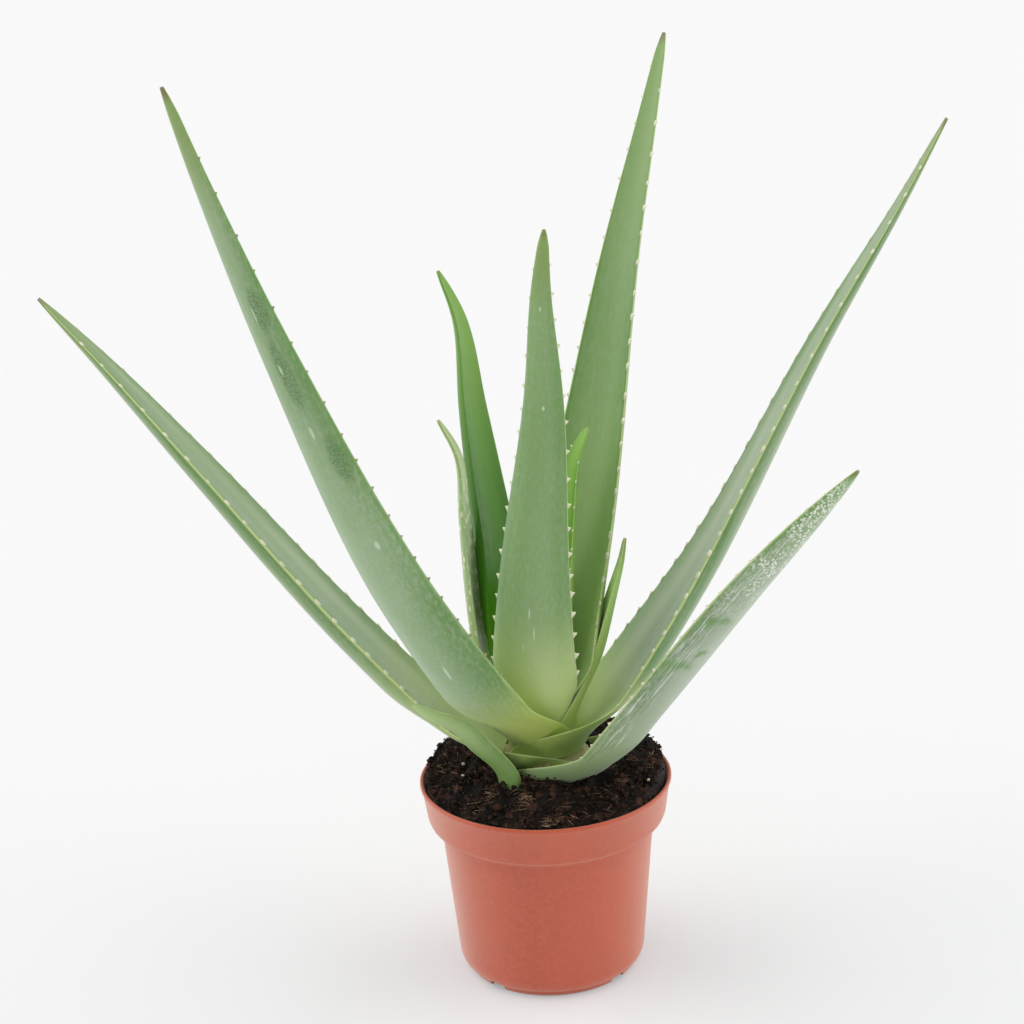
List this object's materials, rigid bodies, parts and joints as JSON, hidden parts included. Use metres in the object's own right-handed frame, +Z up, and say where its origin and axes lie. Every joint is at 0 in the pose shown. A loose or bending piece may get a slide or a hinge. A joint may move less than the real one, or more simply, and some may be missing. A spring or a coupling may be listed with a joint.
{
  "type": "potted aloe plant",
  "caption": "Rosette of long tapering succulent leaves with toothed margins and a small offset, rooted in peat in a round plastic nursery pot.",
  "frame": {"origin": "middle of the pot's base, on the resting plane", "axes": "+Z up, +X to the plant's right as pictured, +Y away from the camera"},
  "size_m": [0.4167, 0.2416, 0.4683],
  "materials": {
    "leaf": "satin, waxy bloom",
    "young_leaf": "satin",
    "papery": "dry, matt",
    "stock": "fleshy, matt",
    "peat": "rough, fibrous",
    "terracotta": "satin moulded"
  },
  "bodies": {
    "root": {"leaf_low_right": "leaf", "leaf_low_left": "leaf", "leaf_upper_right": "leaf", "leaf_upper_left": "leaf", "leaf_small_left": "leaf", "leaf_small_right": "leaf", "leaf_front": "leaf", "leaf_tall_back": "leaf", "leaf_back_left": "leaf", "leaf_young": "young_leaf", "pup_leaf": "young_leaf", "old_leaf_scrap": "papery", "stem_and_roots": "stock", "soil": "peat", "pot": "terracotta"}
  },
  "joints": []
}
